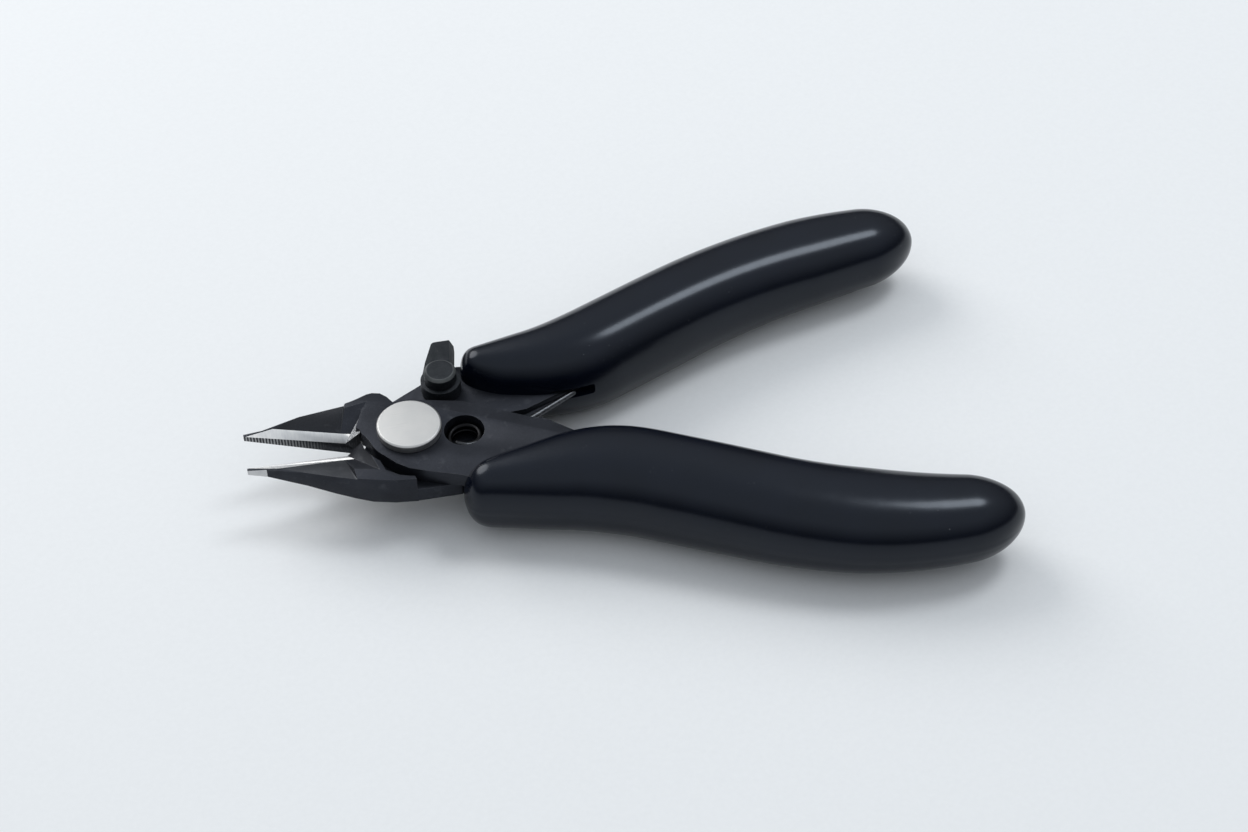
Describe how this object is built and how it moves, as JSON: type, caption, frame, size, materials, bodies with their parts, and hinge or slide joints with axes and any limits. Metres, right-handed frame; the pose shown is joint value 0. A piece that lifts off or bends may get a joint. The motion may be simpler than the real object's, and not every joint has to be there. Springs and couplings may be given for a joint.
{
  "type": "flush cutter",
  "caption": "Small lap-joint flush cutter: two crossed steel halves on a rivet, opened by a spring, with vinyl grips and a swinging lock lever.",
  "frame": {"origin": "centre of the flat end of the rivet's tail, on the pivot's axis", "axes": "+Z along the pivot's axis toward the rivet's head; +X from the pivot toward the handles, midway between them; the jaws point along -X"},
  "size_m": [0.0891, 0.0579, 0.0121],
  "materials": {
    "black_steel": "black oxide, satin",
    "satin_steel": "satin",
    "spring_steel": "drawn wire",
    "dark_steel": "matte black oxide",
    "vinyl": "glossy dipped vinyl"
  },
  "bodies": {
    "lower": {"lower_half": "black_steel", "pivot_rivet": "satin_steel", "rivet_washer": "satin_steel", "back_grip": "vinyl", "lock_washer": "spring_steel", "lock_pin": "dark_steel"},
    "upper": {"upper_half": "black_steel", "front_grip": "vinyl"},
    "spring": {"return_spring": "spring_steel"},
    "lever": {"lock_lever": "dark_steel"}
  },
  "joints": [
    {"name": "jaw_pivot", "type": "hinge", "parent": "lower", "child": "upper", "pos_m": [0, 0, 0], "axis": [0, 0, 1], "range_deg": [0, 14.9], "stiffness_Nm_per_rad": 0.8, "springref_deg": -5.73},
    {"name": "spring_wind", "type": "hinge", "parent": "upper", "child": "spring", "pos_m": [0.00644, -0.00136, 0], "axis": [0, 0, 1], "range_deg": [-20.8, 0]},
    {"name": "lever_turn", "type": "hinge", "parent": "lower", "child": "lever", "pos_m": [0.00483, 0.0077, 0], "axis": [0, 0, 1], "range_deg": [0, 110]}
  ],
  "couplings": [
    {"joint": "spring_wind", "follows": "jaw_pivot", "ratio": -1.387}
  ]
}
